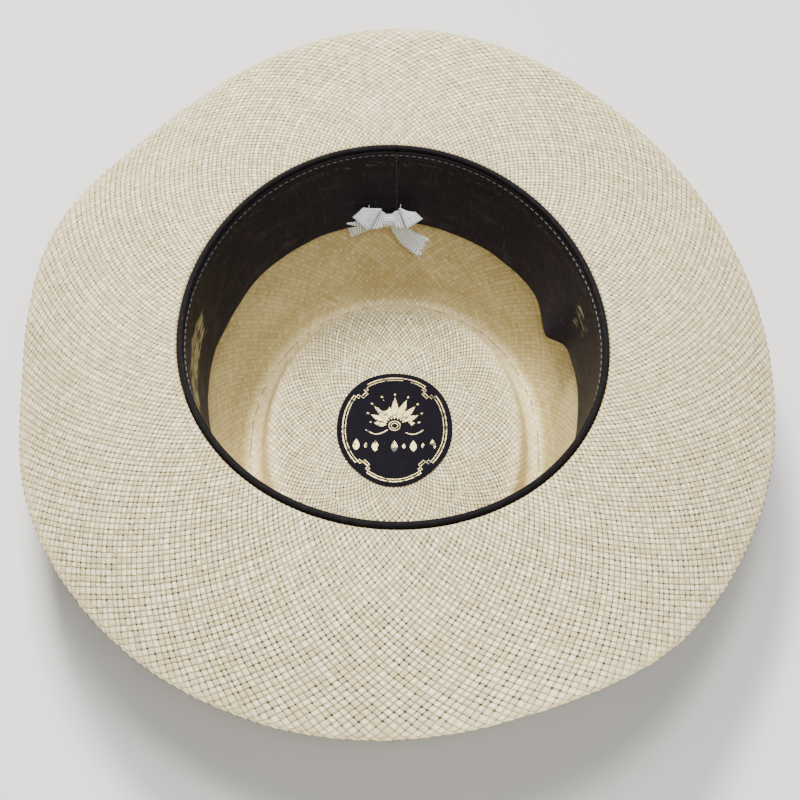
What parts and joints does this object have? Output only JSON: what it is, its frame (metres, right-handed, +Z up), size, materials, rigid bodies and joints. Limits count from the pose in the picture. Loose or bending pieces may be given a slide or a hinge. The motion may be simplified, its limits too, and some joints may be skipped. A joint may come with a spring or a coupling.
{
  "type": "hat",
  "caption": "Wide-brimmed woven straw hat with a sunken flat-topped crown, leather sweatband and ribbon band, lying on its crown.",
  "frame": {"origin": "on the resting plane, under the middle of the head opening and of the brim", "axes": "+Z up out of the open crown, +Y towards the back of the hat, +X towards the wearer's right"},
  "size_m": [0.3098, 0.3468, 0.0922],
  "materials": {
    "straw": "lacquered plain-woven straw",
    "leather": "worn satin, embossed",
    "reed": "satin",
    "binding_tape": "coated cloth",
    "dark_thread": "waxed thread",
    "straw_thread": "cotton thread",
    "white_ribbon": "ribbed grosgrain",
    "white_thread": "cotton thread",
    "label": "printed film with worn gold foil",
    "grosgrain": "ribbed grosgrain"
  },
  "bodies": {
    "root": {"straw_body": "straw", "sweatband": "leather", "sweatband_reed": "reed", "sweatband_reed_tape": "binding_tape", "sweatband_edge_stitching": "dark_thread", "sweatband_seam_tape": "binding_tape", "sweatband_seam_stitching": "dark_thread", "sweatband_sewing_stitches": "straw_thread", "size_bow_left_loop": "white_ribbon", "size_bow_right_loop": "white_ribbon", "size_bow_knot": "white_ribbon", "size_bow_left_tail": "white_ribbon", "size_bow_right_tail": "white_ribbon", "size_bow_thread": "white_thread", "tip_label": "label", "hat_band": "grosgrain", "hat_band_bow_tail": "grosgrain", "hat_band_bow_loop": "grosgrain", "hat_band_bow_wrap": "grosgrain", "hat_band_tacks": "dark_thread"}
  },
  "joints": []
}
